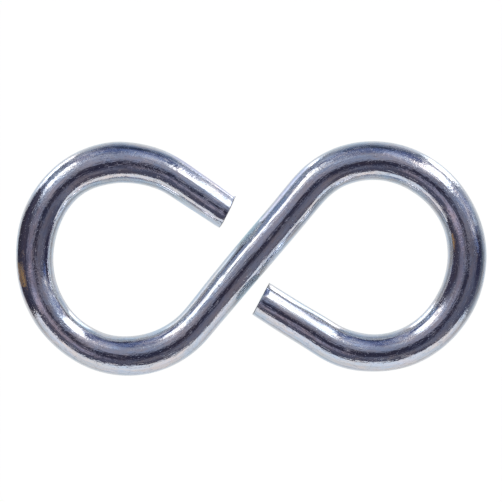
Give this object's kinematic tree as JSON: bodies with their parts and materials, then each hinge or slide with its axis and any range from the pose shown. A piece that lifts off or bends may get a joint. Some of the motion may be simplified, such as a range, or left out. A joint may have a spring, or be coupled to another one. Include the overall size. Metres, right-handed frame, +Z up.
{
  "type": "s hook",
  "caption": "Flat S hook of round plated steel wire, each end curled into a nearly closed eye, for joining chain, rings, cords and spring ends.",
  "frame": {"origin": "middle of the hook's outline, on the plane that the hook lies on, at its underside", "axes": "the hook lies flat, with its wire bent in the XY plane; +X along the hook from the left eye to the right eye, +Y across it, towards the left eye's sheared end; the shank slants up to the right, 50 degrees from +X; +Z up, through the eyes"},
  "size_m": [0.0508, 0.0252, 0.0041],
  "materials": {
    "wire": "bright zinc plating with a faint blue cast on drawn steel wire, mirror-like with fine drawing lines, specks and light scuffs"
  },
  "bodies": {
    "root": {"s_hook": "wire"}
  },
  "joints": []
}
